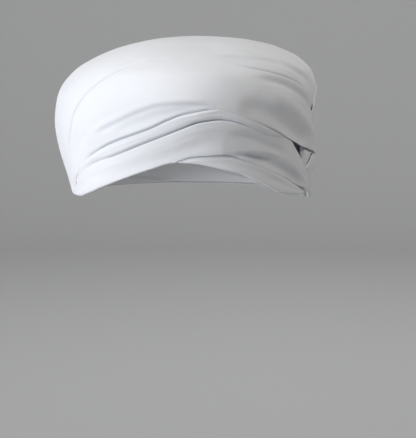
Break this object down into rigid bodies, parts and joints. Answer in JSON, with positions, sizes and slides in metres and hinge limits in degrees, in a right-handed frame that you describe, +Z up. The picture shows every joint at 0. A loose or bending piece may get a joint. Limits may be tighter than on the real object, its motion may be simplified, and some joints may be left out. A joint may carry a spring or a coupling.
{
  "type": "tied turban",
  "caption": "White cloth turban wound round a padded core, with crossing laps over the brow and an open hollow for the head.",
  "frame": {"origin": "head_seat, where the crown of the head touches the roof of the hollow", "axes": "+Z up, the brow faces -Y, +X to the right of someone who looks at the brow"},
  "size_m": [0.1903, 0.2319, 0.1166],
  "materials": {
    "white_cotton": "matt woven cotton"
  },
  "bodies": {
    "root": {"under_wrap": "white_cotton", "brow_wrap_right": "white_cotton", "brow_wrap_left": "white_cotton", "brow_pleat": "white_cotton", "nape_wrap": "white_cotton", "back_wrap": "white_cotton", "upper_wrap": "white_cotton", "crown_wrap": "white_cotton"}
  },
  "joints": []
}
